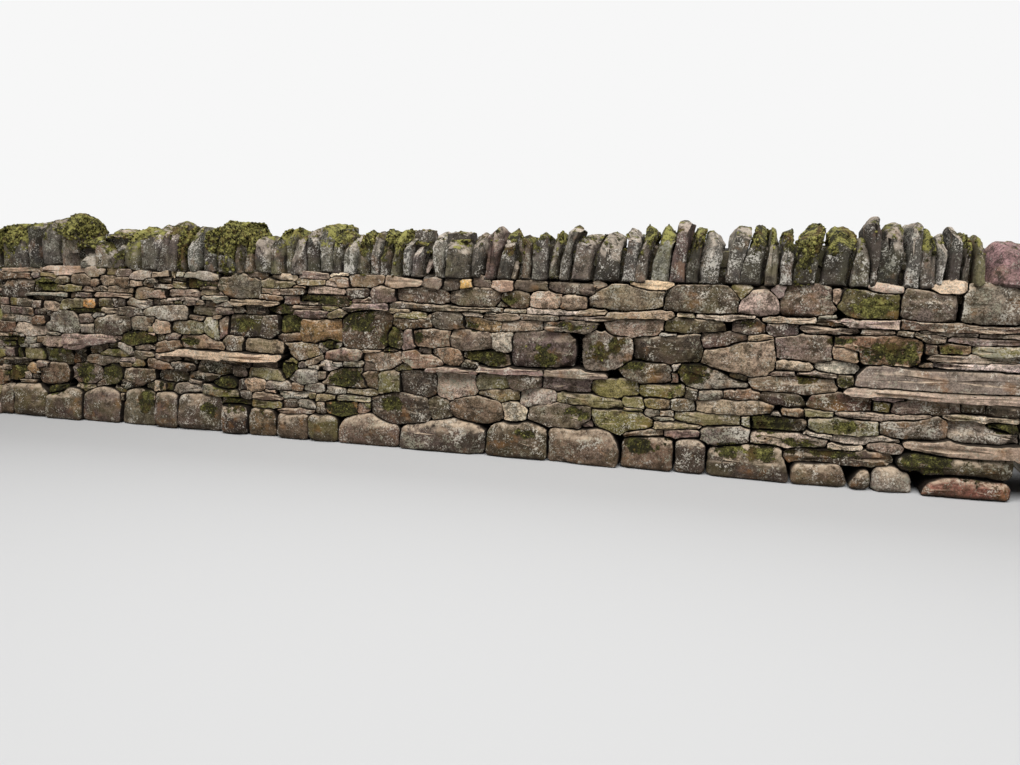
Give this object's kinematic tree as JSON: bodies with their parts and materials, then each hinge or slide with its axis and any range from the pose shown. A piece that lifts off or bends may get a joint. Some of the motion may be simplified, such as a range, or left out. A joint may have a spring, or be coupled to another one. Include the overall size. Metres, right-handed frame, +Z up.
{
  "type": "dry stone wall",
  "caption": "Double-faced dry stone field wall: boulder footings, coursed rubble lifts, through stones, cover slabs, an upright cope, built heads and a small smoot.",
  "frame": {"origin": "on the ground, at the middle of the wall's length and thickness", "axes": "+X along the wall to the end with the smoot, +Y through it away from the face in the picture, +Z up"},
  "size_m": [7.2, 0.77, 1.43],
  "materials": {
    "footing_stone": "rough",
    "face_stone": "rough",
    "flagstone": "rough",
    "cope_stone": "rough",
    "hearting_stone": "rough"
  },
  "bodies": {
    "root": {"footing_1": "footing_stone", "footing_2": "footing_stone", "footing_3": "footing_stone", "footing_4": "footing_stone", "footing_5": "footing_stone", "footing_6": "footing_stone", "lower_front_1": "face_stone", "lower_front_2": "face_stone", "lower_front_3": "face_stone", "lower_front_4": "face_stone", "lower_front_5": "face_stone", "lower_front_6": "face_stone", "lower_back_1": "face_stone", "lower_back_2": "face_stone", "lower_back_3": "face_stone", "lower_back_4": "face_stone", "lower_back_5": "face_stone", "lower_back_6": "face_stone", "upper_front_1": "face_stone", "upper_front_2": "face_stone", "upper_front_3": "face_stone", "upper_front_4": "face_stone", "upper_front_5": "face_stone", "upper_front_6": "face_stone", "upper_back_1": "face_stone", "upper_back_2": "face_stone", "upper_back_3": "face_stone", "upper_back_4": "face_stone", "upper_back_5": "face_stone", "upper_back_6": "face_stone", "cope_1": "cope_stone", "cope_2": "cope_stone", "cope_3": "cope_stone", "cope_4": "cope_stone", "cope_5": "cope_stone", "cope_6": "cope_stone", "left_head": "face_stone", "right_head": "face_stone", "hearting": "hearting_stone", "throughs": "flagstone", "long_slab": "flagstone", "smoot_lintels": "flagstone", "cover_slabs": "flagstone"}
  },
  "joints": []
}
